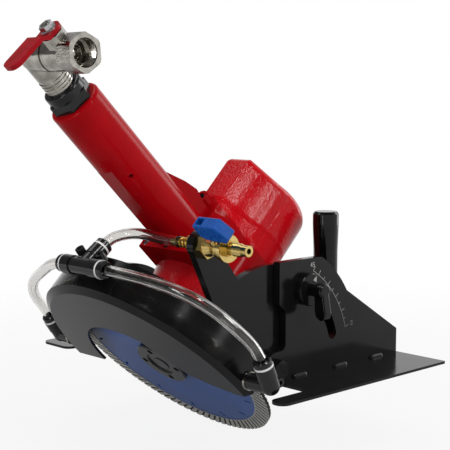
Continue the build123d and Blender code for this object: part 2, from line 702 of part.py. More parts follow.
def water_valve_body():
    # Brass ball valve: hexagon on the tab, a waisted body, a disc and a hose tail
    y, z = WATER_Y, WATER_Z
    front = TILT_X + PLATE_T
    hexes = Pos(front, y, z) * Rot(0, 90, 0) * hexagon(15.6, 6.0)
    hexes += Pos(front + 24.5, y, z) * Rot(0, 90, 0) * Rot(0, 0, 30) * hexagon(11.0, 3.5)
    body = hexes + waist(front + 6, front + 11, 7.6, 5.6) + waist(front + 11, front + 17, 5.6, 8.0)
    body += rod_x(front + 17, front + 21.5, y, z, 8.0) + rod_x(front + 21.5, front + 24.5, y, z, 9.3)
    body += barb(front + 28, WATER_END_X, 4.2)
    # Threaded end through the tab and the ringed tail under the hose
    body += rod_x(TILT_X - 5.5, front, y, z, 5.0)
    for i in range(4):
        body += waist(WATER_TAIL_X + 3.2 * i, WATER_TAIL_X + 3.2 * (i + 1), 2.9, 3.7)
    body += rod_x(WATER_TAIL_X - 6, WATER_TAIL_X, y, z, HOSE_BORE)
    body += rod_z(z, z + 10.5, WATER_STEM_X, y, 4.6)
    body -= rod_x(WATER_TAIL_X - 10, WATER_END_X + 3, y, z, 1.9)
    body -= Pos(WATER_STEM_X, y, z) * Sphere(4.9)
    return body - rod_z(z, z + 12, WATER_STEM_X, y, 2.2 + RUN_GAP)


def bulkhead_nut():
    nut = Pos(TILT_X - 3.6, WATER_Y, WATER_Z) * Rot(0, 90, 0) * hexagon(14.0, 3.6)
    return nut - rod_x(TILT_X - 5, TILT_X + 1, WATER_Y, WATER_Z, 5.0)


def water_valve_stem():
    y, z = WATER_Y, WATER_Z
    ball = Pos(WATER_STEM_X, y, z) * Sphere(4.8) - rod_x(WATER_STEM_X - 8, WATER_STEM_X + 8, y, z, 1.9)
    return ball + rod_z(z + 4.0, z + 21.0, WATER_STEM_X, y, 2.2)


def water_valve_handle():
    # Blue wedge handle that lies along the open valve and dips over its nose
    y, z = WATER_Y, WATER_Z + 11.2
    side = make_face(Polyline(
        (95.0, z + 4.5), (95.0, z + 15.0), (115.5, z + 15.0), (121.0, z + 4.0), (117.0, z), (105.0, z + 0.6),
        (98.0, z + 1.6), close=True))
    block = fillet(plate_y(side, y - 4.3, y + 4.3).edges(), 0.8)
    block -= box(96.4, 102.5, y - 2.6, y + 2.6, z + 9.8, z + 16)
    return block - rod_z(z - 3, z + 20, WATER_STEM_X, y, 2.2)


# Water tee, elbows and hoses

def tee_place():
    return Pos(TEE_X, TEE_Y, TEE_Z) * Rot(TEE_TURN, 0, 0)


def tee_lugs():
    # Where each lug's hole sits and how high the lug stands
    return [(-9.4, 9.6, -0.5), (8.4, 11.4, 3.0)]


def water_tee():
    # Push-in tee, drawn level about its run and then turned with its branch down, on a foot over the guard
    run, branch = TEE_RUN, TEE_BRANCH
    body = rod_x(0 - run, run, 0, 0, 6.1)
    body += rod_x(0 - run, -10.5, 0, 0, PORT_R) + rod_x(10.5, run, 0, 0, PORT_R)
    body += rod_y(0, branch, 0, 0, 5.8) + rod_y(9.5, branch, 0, 0, PORT_R - 0.3)
    for x, y, top in tee_lugs():
        body += rod_z(-3.5, top, x, y, 3.4) + box(min(x, 0), max(x, 0), y - 1.8, y + 1.8, -3.0, -1.0)
    for x, y, top in tee_lugs():
        body -= rod_z(-5, 5, x, y, 1.75)
    body -= rod_x(0 - run - 1, run + 1, 0, 0, HOSE_BORE)
    body -= rod_y(0, branch + 1, 0, 0, HOSE_BORE - 0.2)
    body -= rod_x(-21, -16, 0, 0, HOSE_R) + rod_x(16, 21, 0, 0, HOSE_R)
    foot = box(TEE_X - 8, TEE_X + 7.5, TEE_Y - 4.5, TEE_Y + 4.5, AXIS_Z + GUARD_R - 1.5, TEE_Z - 3.2)
    foot -= rod_y(TEE_Y - 20, TEE_Y + 20, 0, AXIS_Z, GUARD_R)
    return tee_place() * body + foot


def tee_screws():
    # One screw stands proud of its lug, the other is sunk in it
    (x0, y0, low), (x1, y1, high) = tee_lugs()
    proud = rod_z(-3.5, 2.8, x0, y0, 1.75) + rod_z(2.8, 7.2, x0, y0, 3.4)
    proud -= Pos(x0, y0, 5.0) * hexagon(3.0, 4)
    sunk = rod_z(-3.5, high - 0.6, x1, y1, 1.75) - Pos(x1, y1, high - 2.6) * hexagon(1.8, 4)
    return [tee_place() * proud, tee_place() * sunk]


def sleeve(outer, length):
    return Cylinder(outer, length, align=UPRIGHT) - Cylinder(HOSE_R, length, align=UPRIGHT)


def elbow_place(at, turn):
    return Pos(*at) * Rot(0 - turn, 0, 0)


def port_places():
    # Where each push-in port's ring starts, and which way it faces
    tee = tee_place()
    return [
        tee * Pos(0 - TEE_RUN, 0, 0) * Rot(0, -90, 0),
        tee * Pos(TEE_RUN, 0, 0) * Rot(0, 90, 0),
        tee * Pos(0, TEE_BRANCH, 0) * Rot(-90, 0, 0),
        elbow_place(FRONT_ELBOW, FRONT_TURN) * Pos(0, 0, ELBOW_H),
        elbow_place(REAR_ELBOW, REAR_TURN) * Pos(0, 0, ELBOW_H),
    ]


def collet_rings():
    return [place * sleeve(PORT_R - 0.2, RING_L) for place in port_places()]


def release_collars():
    collar = Pos(0, 0, RING_L) * sleeve(PORT_R - 0.5, COLLAR_L)
    collar = chamfer(collar.edges().group_by(Axis.Z)[-1].sort_by(SortBy.RADIUS)[-1], 0.8)
    return [place * collar for place in port_places()]


def push_elbow(at, turn):
    # Push-in elbow: hose from above, and a leg that swivels on the stud in the guard's wall
    leg = abs(at[0]) - GUARD_R - 2.0
    body = Sphere(PORT_R - 0.4) + rod_z(0, ELBOW_H, 0, 0, PORT_R - 0.4)
    body += rod_z(ELBOW_H - 8.5, ELBOW_H, 0, 0, PORT_R) + rod_x(0 - leg, 0, 0, 0, 6.0)
    body += rod_x(-2.2, 2.2, 7.6, -2.0, 3.2)
    body -= rod_x(-3.0, 3.0, 7.6, -2.0, 1.5)
    body -= rod_z(12.0, ELBOW_H + 1, 0, 0, HOSE_R) + rod_z(0, 13.0, 0, 0, HOSE_BORE)
    body -= rod_x(0 - leg - 1, 0, 0, 0, 1.6)
    if at[0] < 0:
        body = mirror(body, Plane.YZ)
    return elbow_place(at, turn) * body


def elbow_stud(at):
    # Plated stud with a round flange between the elbow's leg and the guard
    x, y, z = at
    stud = rod_x(GUARD_R, GUARD_R + 2.0, y, z, 6.6) + rod_x(GUARD_R - 5.0, GUARD_R, y, z, 3.0)
    stud -= rod_x(GUARD_R - 6.0, GUARD_R + 3.0, y, z, 1.6)
    return stud if x > 0 else mirror(stud, Plane.YZ)


def hose(name, points):
    # Straight runs joined by tangent arcs, as generous as the shorter run allows
    radii = []
    for a, b, c in zip(points, points[1:], points[2:]):
        u = Vector(*b) - Vector(*a)
        w = Vector(*c) - Vector(*b)
        half = math.radians(u.get_angle(w)) / 2
        radii.append(0.45 * min(u.length, w.length) / math.tan(half))
    path = FilletPolyline(*points, radius=radii)
    start = Plane(origin=path @ 0, z_dir=path % 0)
    outer = sweep(start * Circle(HOSE_R), path)
    inner = sweep(start * Circle(HOSE_BORE), path)
    length = path.length
    print(name, "length", round(length, 1), "radii", [round(r, 1) for r in radii], "volume ratio",
          round(outer.volume / (math.pi * HOSE_R ** 2 * length), 4))
    return outer - inner


def tee_point(along, out):
    # A point on the tee's axes: along its run and out along its branch
    turn = math.radians(TEE_TURN)
    return (TEE_X + along, TEE_Y + out * math.cos(turn), TEE_Z + out * math.sin(turn))


def elbow_point(at, turn, up):
    # A point on the hose axis of an elbow
    lean = math.radians(turn)
    return (at[0], at[1] + up * math.sin(lean), at[2] + up * math.cos(lean))


def hose_supply():
    # From the tee's branch round to the tail of the water valve
    return hose("hose_supply", [
        tee_point(0, 19.7), tee_point(0, 27.4), (5.6, 12.6, 131.2), (11.5, 18.2, 128.2), (20.8, 21.0, 126.2),
        (33.0, 21.3, 124.4), (46.5, WATER_Y, WATER_Z), (WATER_TAIL_X, WATER_Y, WATER_Z)])


def hose_rear():
    # From the tee back and down to the elbow behind the guard
    return hose("hose_rear", [
        tee_point(-16, 0), tee_point(-34, 0), (-53.5, -24.0, 127.0), (-82.0, -25.0, 111.5),
        (-106.0, -24.4, 88.5), elbow_point(REAR_ELBOW, REAR_TURN, 28.6),
        elbow_point(REAR_ELBOW, REAR_TURN, 12.0)])


def hose_front():
    # From the tee forwards along the guard and down to the front elbow
    return hose("hose_front", [
        tee_point(16, 0), tee_point(34, 0), (63.5, -18.0, 130.0), (86.5, -15.8, 119.5), (102.5, -14.8, 104.0),
        (112.3, -15.0, 84.5), elbow_point(FRONT_ELBOW, FRONT_TURN, 28.6),
        elbow_point(FRONT_ELBOW, FRONT_TURN, 12.0)])


def build():
    base = {
        "base_plate": base_plate(),
        "scale_bracket": scale_bracket(),
        "scale_marks": scale_marks(),
        "bracket_welds": bracket_welds(),
        "rear_bracket": rear_bracket(),
        "rear_welds": rear_welds(),
        "pivot_bolt_front": pivot_bolt(1),
        "pivot_bolt_rear": pivot_bolt(-1),
        "pivot_nut_front": pivot_nut(1),
        "pivot_nut_rear": pivot_nut(-1),
        "handle_foot": handle_foot(),
        "handle_core": handle_core(),
        "auxiliary_handle": auxiliary_handle(),
    }
    fx, fy, fz = FRONT_ELBOW
    rx, ry, rz = REAR_ELBOW
    guard = blade_guard() - rod_x(90, 110, fy, fz, 3.0) - rod_x(-110, -90, ry, rz, 3.0)
    for x, z in guard_screw_points():
        guard -= rod_y(GUARD_BACK - 4, GUARD_BACK + 1, x, z, 2.5)
    head = {
        "tilt_plate": tilt_plate(),
        "rear_tilt_plate": rear_tilt_plate(),
        "lock_stud": lock_stud(),
        "pointer_disc": pointer_disc(),
        "pointer_mark": pointer_mark(),
        "lock_lever": lock_lever(),
        "blade_guard": guard,
        "guard_screws": guard_screws(),
        "spindle": spindle(),
        "inner_flange": inner_flange(),
        "blade_core": blade_core(),
        "diamond_rim": diamond_rim(),
        "flange_nut": flange_nut(),
        "front_bearing": bearing(2.0, 14.0, 8.5 + RUN_GAP, 20.0),
        "rear_bearing": bearing(124.5, 133.5, 7.5 + RUN_GAP, 16.0),
        "spindle_seal": ring(-3.5, 2.0, 10.5 + RUN_GAP, 20.0),
        "front_end_plate": ring(50.0, 56.0, 8.6, LINER_R),
        "rear_end_plate": ring(118.0, 124.0, 7.6, LINER_R),
        "motor_liner": motor_liner(),
        "rotor": rotor(),
        "rotor_vanes": rotor_vanes(),
        "spindle_housing": spindle_housing(),
        "handle_housing": handle_housing(),
        "passage_plugs": passage_plugs(),
        "oil_plug": oil_plug(),
        "motor_housing": motor_housing(),
        "motor_bolts": motor_bolts(),
        "inlet_bushing": inlet_bushing(),
        "inlet_elbow": inlet_elbow(),
        "air_valve_body": air_valve_body(),
        "air_valve_stem": air_valve_stem(),
        "air_valve_lever": air_valve_lever(),
        "air_lever_nut": air_lever_nut(),
        "water_valve_body": water_valve_body(),
        "bulkhead_nut": bulkhead_nut(),
        "water_valve_stem": water_valve_stem(),
        "water_valve_handle": water_valve_handle(),
        "water_tee": water_tee(),
        "tee_screws": tee_screws(),
        "collet_rings": collet_rings(),
        "release_collars": release_collars(),
        "front_elbow": push_elbow(FRONT_ELBOW, FRONT_TURN),
        "rear_elbow": push_elbow(REAR_ELBOW, REAR_TURN),
        "elbow_studs": [elbow_stud(FRONT_ELBOW), elbow_stud(REAR_ELBOW)],
        "hose_supply": hose_supply(),
        "hose_rear": hose_rear(),
        "hose_front": hose_front(),
    }
    tilt = Pos(0, 0, PIVOT_Z) * Rot(BEVEL, 0, 0) * Pos(0, 0, 0 - PIVOT_Z)
    return base, head, tilt


def write(name, shape, place):
    solids = []
    for piece in shape if isinstance(shape, list) else [shape]:
        solids.extend((place * piece).solids())
    whole = solids[0] if len(solids) == 1 else Compound(children=solids)
    export_step(whole, f"parts/{name}.step")


os.makedirs("parts", exist_ok=True)
base, head, tilt = build()
for name, shape in base.items():
    write(name, shape, Pos(0, 0, 0))
for name, shape in head.items():
    write(name, shape, tilt)
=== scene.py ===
import json
import math

import bpy
from mathutils import Matrix, Vector


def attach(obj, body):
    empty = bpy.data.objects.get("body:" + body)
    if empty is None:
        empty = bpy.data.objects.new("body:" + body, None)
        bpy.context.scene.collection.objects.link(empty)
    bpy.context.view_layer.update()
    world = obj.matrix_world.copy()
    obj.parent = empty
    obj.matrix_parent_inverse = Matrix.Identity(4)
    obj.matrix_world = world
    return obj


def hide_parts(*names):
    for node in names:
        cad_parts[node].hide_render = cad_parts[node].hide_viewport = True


# Looks of a pneumatic wet stone saw. Sizes and routes on the head are in its own upright millimetres,
# as in the part's source. The camera's place, the studio and the materials' own sizes are in metres.

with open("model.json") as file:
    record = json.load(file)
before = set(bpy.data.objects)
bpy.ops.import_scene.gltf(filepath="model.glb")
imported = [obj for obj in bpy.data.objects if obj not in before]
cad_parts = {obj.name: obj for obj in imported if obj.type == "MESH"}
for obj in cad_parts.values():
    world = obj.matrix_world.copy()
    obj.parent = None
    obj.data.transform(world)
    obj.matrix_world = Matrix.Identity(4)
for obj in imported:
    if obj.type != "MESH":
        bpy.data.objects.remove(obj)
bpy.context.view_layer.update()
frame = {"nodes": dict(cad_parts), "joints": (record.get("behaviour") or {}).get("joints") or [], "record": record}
scene = bpy.context.scene
nodes = frame["nodes"]
slot_of = {part["node"]: part["material_slot"] for part in frame["record"]["subparts"]}
pivot_height = next(joint["pos_m"][2] for joint in frame["joints"] if joint["name"] == "bevel_tilt")

MM = 0.001
BEVEL = math.radians(45.0)
UPRIGHT = (0, 0, 1)
FORWARD = (1, 0, 0)

# The head's own sideways and upward directions, laid over by the bevel, and how far along the first one
# the head's own zero lies
HEAD_Y = (0.0, math.cos(BEVEL), math.sin(BEVEL))
HEAD_UP = (0.0, -math.sin(BEVEL), math.cos(BEVEL))
HEAD_Y_ZERO = pivot_height * math.sin(BEVEL)

# Water line, with the sides of a hose's rings and the steps between two points of its route
HOSE_R = 4.0
HOSE_BORE = 2.75
HOSE_SIDES = 28
HOSE_STEPS = 16
TEE = (3.4, -20.8, 137.8)
TEE_TURN = math.radians(-9.0)
FRONT_ELBOW = (120.5, -27.1, 38.0)
FRONT_TURN = math.radians(21.0)
REAR_ELBOW = (-116.5, -27.1, 38.0)
REAR_TURN = math.radians(10.0)
WATER_Y = 20.8
WATER_Z = 122.8

# Air inlet's thread: half the width of its foot is in pitches, its run-out at each end in turns
INLET_Y = 57.2
INLET_Z = 264.6
INLET_X = (44.9, 54.7)
INLET_R = 9.5
THREAD_PITCH = 1.81
THREAD_DEPTH = 0.6
THREAD_FOOT = 0.48
THREAD_RUN_OUT = 0.5
THREAD_STEPS = 40

# The blade's rim, and how far below its faces the painted shade in its grooves is darkest and from where on it is
# gone
RIM_Y = -20.6
RIM_HALF = 1.5
RIM_SHADE_DARKEST = 0.45
RIM_SHADE_GONE = 0.1

# Outline of the motor: a round barrel whose flanks rise to a flat-topped ridge
AXIS_Z = 28.3
BARREL_R = 33.9
BARREL_SIDE = math.radians(20.0)
RIDGE_H = 49.0
RIDGE_W = 10.8

# Rounding of the motor's flanks: half its curvature per metre, the share of the squared half width from
# which it fades out, and where it sets in along the motor
FLANK_BULGE = 8.0
FLANK_EDGE = 0.85
FLANK_START = (82.0, 86.0)

# The joint where the handle casting, a little smaller, meets the motor, and the paint over it: places
# along the motor and heights over its outline
JOINT_Y = 98.0
JOINT_ARC = (math.radians(-46.0), math.radians(226.0))
JOINT_STEPS = 240
JOINT_PAINT = ((-4.0, -0.6), (-2.5, -0.32), (0.0, 0.04), (0.9, 0.04), (1.3, -0.2))

# The smooth part of the handle casting ends on a slanting line, beyond which it has the motor's grain and
# a brighter red. The smooth part's own red drifts over a share of the way to that red.
GRAIN_Y = 97.4
GRAIN_SLANT = 0.55
GRAIN_BLEND = 1.0
TONE_DRIFT = 0.3

# Grain of the materials: size of its blobs and depth of its relief
PAINT_PEEL = (0.009, 0.00002)
CASTING_GRAIN = (0.002, 0.00032)
COAT_PEEL = (0.002, 0.000008)
MOULD_GRAIN = (0.0009, 0.000015)
RIM_GRIT = (0.0008, 0.00008)

# Clouds in the colour and the gloss of the materials: their sizes
PAINT_CLOUD = 0.025
PAINT_GLOSS = 0.01
COAT_CLOUD = 0.03
METAL_CLOUD = 0.006
MOULD_CLOUD = 0.008
MOULD_GLOSS = 0.004
HOSE_GLOSS = 0.02

# How far the roughness drifts down and up
PAINT_DRIFT = (0.02, 0.03)
METAL_DRIFT = (0.05, 0.07)
MOULD_DRIFT = (0.05, 0.06)
RIM_DRIFT = (0.08, 0.08)
HOSE_DRIFT = (0.01, 0.01)

# The bevel scale's print: heights over which it goes from dark up to white, and the size and reach of the patches
# that shift that change
PRINT_DARK_SPAN = (0.02, 0.1)
PRINT_PATCH = 0.004
PRINT_PATCH_REACH = 0.02

# Camera of the photograph, with its lens and sensor in millimetres
CAMERA_AT = (0.644, -0.581, 0.205)
CAMERA_BACK = (0.7184, -0.6866, 0.1132)
CAMERA_LENS = 92.2
CAMERA_SENSOR = 36.0

# Studio: a white backdrop behind the object, a dimmer room in front and even light
BACKDROP_WAY = (-0.05, 0.86, -0.5)
BACKDROP_SPAN = (-0.3, 0.5)
ROOM_LEVEL = 0.15
LIGHT_LEVEL = 0.6

# Lamps, all turned to one point: place, width and length, power in watts and the direction of the length
LAMP_AIM = (0, 0, 0.1)
LAMPS = {
    "front": ((1.1, 0.26, 0.61), (0.12, 0.4), 3.2, HEAD_Y),
    "high": ((0.76, -0.18, 1.05), (0.12, 0.4), 3.2, HEAD_Y),
    "left": ((0.3, -1.1, 0.3), (0.12, 0.8), 3.0, UPRIGHT),
    "side": ((0.25, 1.15, 0.35), (0.4, 0.9), 4.0, UPRIGHT),
    "top": ((-0.45, -0.15, 1.1), (0.6, 0.6), 2.5, UPRIGHT),
}

# Floor: its paper's grey and roughness, its half width, its height just below the upright blade, the reach
# over which it turns white and its least share of white, as seen and in mirrors
PAPER = (0.5, 0.5, 0.5)
PAPER_ROUGHNESS = 0.8
FLOOR_HALF = 4.0
FLOOR_Z = -0.0625
FLOOR_FADE = (0.25, 0.9)
FLOOR_WHITE = 0.88
MIRROR_FADE = (0.2, 1.3)
MIRROR_WHITE = 0.15


def head_point(x, y, z):
    # Upright head millimetres to metres with the head laid over by its bevel
    rise = z * MM - pivot_height
    y_row = y * MM * math.cos(BEVEL) - rise * math.sin(BEVEL)
    z_row = y * MM * math.sin(BEVEL) + rise * math.cos(BEVEL)
    return Vector((x * MM, y_row, z_row + pivot_height))


def tee_point(along, out):
    x, y, z = TEE
    return (x + along, y + out * math.cos(TEE_TURN), z + out * math.sin(TEE_TURN))


def elbow_point(elbow, turn, up):
    x, y, z = elbow
    return (x, y + up * math.sin(turn), z + up * math.cos(turn))


def add_camera():
    data = bpy.data.cameras.new("camera")
    data.lens = CAMERA_LENS
    data.sensor_width = CAMERA_SENSOR
    camera = bpy.data.objects.new("camera", data)
    camera.location = CAMERA_AT
    camera.rotation_mode = "QUATERNION"
    camera.rotation_quaternion = Vector(CAMERA_BACK).to_track_quat("Z", "Y")
    scene.collection.objects.link(camera)
    scene.camera = camera


def add_mesh(name, vertices, faces, look):
    mesh = bpy.data.meshes.new(name)
    mesh.from_pydata(vertices, [], faces)
    mesh.materials.append(look)
    piece = bpy.data.objects.new(name, mesh)
    scene.collection.objects.link(piece)
    return piece


# Shading helpers

class Shading:
    """The shading nodes of a material or a world, with short ways to add to them."""

    def __init__(self, owner):
        owner.use_nodes = True
        self.tree = owner.node_tree

    def add(self, kind):
        return self.tree.nodes.new("ShaderNode" + kind)

    def link(self, output, socket):
        self.tree.links.new(output, socket)

    def calc(self, kind, first, second):
        node = self.add("Math")
        node.operation = kind
        for socket, value in zip(node.inputs, (first, second)):
            if isinstance(value, float):
                socket.default_value = value
            else:
                self.link(value, socket)
        return node.outputs["Value"]

    def size_of(self, value):
        return self.calc("ABSOLUTE", value, 0.0)

    def dot(self, vector, way):
        # How far a vector reaches along a direction
        node = self.add("VectorMath")
        node.operation = "DOT_PRODUCT"
        node.inputs[1].default_value = way
        self.link(vector, node.inputs[0])
        return node.outputs["Value"]

    def step(self, value, start, end, low=0.0):
        # From low, where the value is at the start, to one where it is at the end
        node = self.add("MapRange")
        node.interpolation_type = "SMOOTHSTEP"
        node.inputs["From Min"].default_value = start
        node.inputs["From Max"].default_value = end
        node.inputs["To Min"].default_value = low
        self.link(value, node.inputs["Value"])
        return node.outputs["Result"]


class Look(Shading):
    """A material with its shader and its textures."""

    # Most of a noise's values lie in this range
    NOISE_RANGE = (0.3, 0.7)

    def __init__(self, name, colour, roughness, metallic=0.0):
        self.material = bpy.data.materials.new(name)
        super().__init__(self.material)
        self.shader = self.tree.nodes["Principled BSDF"]
        self.set("Base Color", (*colour, 1.0))
        self.set("Roughness", roughness)
        self.set("Metallic", metallic)
        self.coords = self.add("TexCoord").outputs["Object"]

    def set(self, name, value):
        self.shader.inputs[name].default_value = value

    def feed(self, name, output):
        self.link(output, self.shader.inputs[name])

    def noise(self, size, detail):
        # Noise whose blobs are about size metres across
        node = self.add("TexNoise")
        node.inputs["Scale"].default_value = 1.0 / size
        node.inputs["Detail"].default_value = detail
        self.link(self.coords, node.inputs["Vector"])
        return node.outputs["Fac"]

    def ramp(self, factor, low, high, start=0.35, end=0.65):
        node = self.add("ValToRGB")
        first, last = node.color_ramp.elements
        first.position, last.position = start, end
        first.color = (*low, 1.0)
        last.color = (*high, 1.0)
        self.link(factor, node.inputs["Fac"])
        return node.outputs["Color"]

    def spread(self, noise, low, high):
        # A noise stretched from low to high
        node = self.add("MapRange")
        node.inputs["From Min"].default_value, node.inputs["From Max"].default_value = self.NOISE_RANGE
        node.inputs["To Min"].default_value = low
        node.inputs["To Max"].default_value = high
        self.link(noise, node.inputs["Value"])
        return node.outputs["Result"]

    def gloss(self, noise, roughness, drift):
        # Roughness that a noise lets drift down and up
        down, up = drift
        self.feed("Roughness", self.spread(noise, roughness - down, roughness + up))

    def bump(self, height, depth, share=None, under=None):
        # Relief of a height, where share lets it show, over the relief under it
        node = self.add("Bump")
        node.inputs["Distance"].default_value = depth
        self.link(height, node.inputs["Height"])
        if share:
            self.link(share, node.inputs["Strength"])
        if under:
            self.link(under, node.inputs["Normal"])
        self.feed("Normal", node.outputs["Normal"])
        return node.outputs["Normal"]

    def along(self, way, start=0.0):
        # Metres along a direction, from a start
        return self.calc("SUBTRACT", self.dot(self.coords, way), start)


# Materials

def coated_steel(name, low, high, roughness, shine):
    # Powder coat: a faint orange peel and a slow drift in gloss
    peel_size, peel_depth = COAT_PEEL
    look = Look(name, low, roughness)
    look.set("Specular IOR Level", shine)
    look.feed("Base Color", look.ramp(look.noise(COAT_CLOUD, 3), low, high))
    look.gloss(look.noise(COAT_CLOUD, 2), roughness, PAINT_DRIFT)
    look.bump(look.noise(peel_size, 1), peel_depth)
    return look.material


def grained_share(look):
    # Zero on the smooth part of the handle casting, one beyond the slanting line where it ends
    slant = look.calc("MULTIPLY", look.size_of(look.along(FORWARD)), GRAIN_SLANT)
    line = look.calc("ADD", look.along(HEAD_Y, HEAD_Y_ZERO), slant)
    return look.step(line, (GRAIN_Y - GRAIN_BLEND) * MM, (GRAIN_Y + GRAIN_BLEND) * MM)


def round_flank(look):
    # The motor's flanks are slightly rounded from the barrel to the ridge
    foot = Vector((BARREL_R * math.cos(BARREL_SIDE), BARREL_R * math.sin(BARREL_SIDE)))
    ridge = Vector((RIDGE_W, RIDGE_H))
    across = (ridge - foot).normalized()
    half = (ridge - foot).length / 2 * MM
    middle = (foot + ridge) / 2 * MM
    axis = head_point(0, 0, AXIS_Z)
    side = look.calc("SUBTRACT", look.size_of(look.along(FORWARD)), middle.x)
    rise = look.along(HEAD_UP, Vector(HEAD_UP).dot(axis) + middle.y)
    place = look.calc("ADD", look.calc("MULTIPLY", side, across.x), look.calc("MULTIPLY", rise, across.y))
    square = look.calc("MULTIPLY", place, place)
    inside = look.step(square, half * half, half * half * FLANK_EDGE)
    start, end = FLANK_START
    motor = look.step(look.along(HEAD_Y, HEAD_Y_ZERO), start * MM, end * MM)
    share = look.calc("MULTIPLY", inside, motor)
    return look.bump(look.calc("MULTIPLY", square, -FLANK_BULGE), 1.0, share)


def cast_paint(name, low, high, roughness, shine, slanted):
    # Gloss enamel over cast metal, with the casting's grain showing through. Where the casting has a smooth
    # part, the grain and the brighter red come only beyond the slant.
    peel_size, peel_depth = PAINT_PEEL
    grain_size, grain_depth = CASTING_GRAIN
    look = Look(name, high, roughness)
    look.set("Specular IOR Level", shine)
    look.gloss(look.noise(PAINT_GLOSS, 2), roughness, PAINT_DRIFT)
    share = None
    tone = look.spread(look.noise(PAINT_CLOUD, 3), 0.0, TONE_DRIFT if slanted else 1.0)
    if slanted:
        share = grained_share(look)
        tone = look.calc("ADD", tone, look.calc("MULTIPLY", share, 1.0 - TONE_DRIFT))
    look.feed("Base Color", look.ramp(tone, low, high, 0.0, 1.0))
    peel = look.bump(look.noise(peel_size, 2), peel_depth, under=round_flank(look))
    look.bump(look.noise(grain_size, 2), grain_depth, share, peel)
    return look.material


def turbo_rim(name, low, high, roughness):
    # Sintered rim: grey faces with grit, and painted shade that darkens the grooves towards their floors
    grit_size, grit_depth = RIM_GRIT
    look = Look(name, high, roughness, 1.0)
    out = look.size_of(look.along(HEAD_Y, HEAD_Y_ZERO + RIM_Y * MM))
    # Painted shade: the colour darkens from just below the faces down to the groove floors
    unshaded = look.step(out, (RIM_HALF - RIM_SHADE_DARKEST) * MM, (RIM_HALF - RIM_SHADE_GONE) * MM)
    grit = look.noise(grit_size, 3)
    groove_shade_and_grit = look.calc("MULTIPLY", unshaded, look.spread(grit, 0.75, 1.0))
    look.feed("Base Color", look.ramp(groove_shade_and_grit, low, high, 0.0, 1.0))
    look.gloss(grit, roughness, RIM_DRIFT)
    look.bump(grit, grit_depth)
    return look.material


def metal(name, low, high, roughness, grain, depth):
    # Bare or plated metal, with gloss in patches three grains wide
    look = Look(name, high, roughness, 1.0)
    look.feed("Base Color", look.ramp(look.noise(METAL_CLOUD, 3), low, high))
    look.gloss(look.noise(grain * 3, 3), roughness, METAL_DRIFT)
    look.bump(look.noise(grain, 2), depth)
    return look.material


def moulded(name, low, high, roughness, shine):
    # Moulded plastic or rubber with a fine tool grain
    grain_size, grain_depth = MOULD_GRAIN
    look = Look(name, high, roughness)
    look.set("Specular IOR Level", shine)
    look.feed("Base Color", look.ramp(look.noise(MOULD_CLOUD, 3), low, high))
    look.gloss(look.noise(MOULD_GLOSS, 3), roughness, MOULD_DRIFT)
    look.bump(look.noise(grain_size, 2), grain_depth)
    return look.material


def print_darker_below(name, low, high, roughness, shine):
    # White print that turns dark towards the lower end of the scale, in patches
    look = Look(name, high, roughness)
    look.set("Specular IOR Level", shine)
    patches = look.calc("MULTIPLY", look.noise(PRINT_PATCH, 3), PRINT_PATCH_REACH)
    patchy_height = look.calc("ADD", look.along(UPRIGHT), patches)
    look.feed("Base Color", look.ramp(patchy_height, low, high, *PRINT_DARK_SPAN))
    return look.material


def clear_tube(name, colour, roughness, bend):
    # Clear hose that bends light by its index
    look = Look(name, colour, roughness)
    look.set("Transmission Weight", 1.0)
    look.set("IOR", bend)
    look.gloss(look.noise(HOSE_GLOSS, 2), roughness, HOSE_DRIFT)
    return look.material


def make_looks():
    # Each slot's kind of material, its colours and its roughness, then its shine, its grain or its index,
    # and for the red paint whether the casting has a smooth part
    recipes = {
        "black_steel": (coated_steel, (0.004, 0.004, 0.004), (0.006, 0.006, 0.006), 0.15, 0.22),
        "black_grip": (moulded, (0.002, 0.002, 0.002), (0.003, 0.003, 0.003), 0.08, 0.25),
        "white_print": (print_darker_below, (0.05, 0.05, 0.05), (0.42, 0.42, 0.4), 0.5, 0.2),
        "zinc_steel": (metal, (0.42, 0.42, 0.43), (0.6, 0.6, 0.6), 0.3, 0.0006, 0.00002),
        "black_casting": (moulded, (0.002, 0.002, 0.002), (0.004, 0.004, 0.004), 0.14, 0.25),
        "ground_steel": (metal, (0.5, 0.5, 0.51), (0.64, 0.64, 0.65), 0.28, 0.0005, 0.00001),
        "black_oxide": (moulded, (0.005, 0.005, 0.006), (0.009, 0.009, 0.01), 0.12, 0.34),
        "blade_blue": (coated_steel, (0.034, 0.085, 0.27), (0.046, 0.105, 0.33), 0.3, 0.16),
        "diamond": (turbo_rim, (0.015, 0.015, 0.015), (0.62, 0.61, 0.58), 0.5),
        "seal_rubber": (moulded, (0.015, 0.015, 0.015), (0.03, 0.03, 0.03), 0.6, 0.3),
        "vane_fibre": (moulded, (0.25, 0.15, 0.08), (0.35, 0.22, 0.12), 0.6, 0.3),
        "red_texture": (cast_paint, (0.43, 0.002, 0.006), (0.49, 0.003, 0.008), 0.11, 0.2, False),
        "red_gloss": (cast_paint, (0.3, 0.0015, 0.004), (0.52, 0.003, 0.008), 0.12, 0.06, True),
        "nickel": (metal, (0.3, 0.285, 0.255), (0.48, 0.46, 0.42), 0.13, 0.0014, 0.00007),
        "red_vinyl": (moulded, (0.26, 0.003, 0.007), (0.32, 0.004, 0.01), 0.2, 0.08),
        "brass": (metal, (0.56, 0.41, 0.14), (0.76, 0.57, 0.22), 0.17, 0.0008, 0.00002),
        "blue_plastic": (moulded, (0.005, 0.065, 0.29), (0.008, 0.08, 0.35), 0.28, 0.12),
        "black_plastic": (moulded, (0.005, 0.005, 0.006), (0.008, 0.008, 0.009), 0.16, 0.45),
        "white_plastic": (moulded, (0.66, 0.66, 0.64), (0.78, 0.78, 0.76), 0.35, 0.4),
        "clear_hose": (clear_tube, (0.82, 0.81, 0.79), 0.02, 1.4),
    }
    return {slot: make(slot, *values) for slot, (make, *values) in recipes.items()}


# Hoses

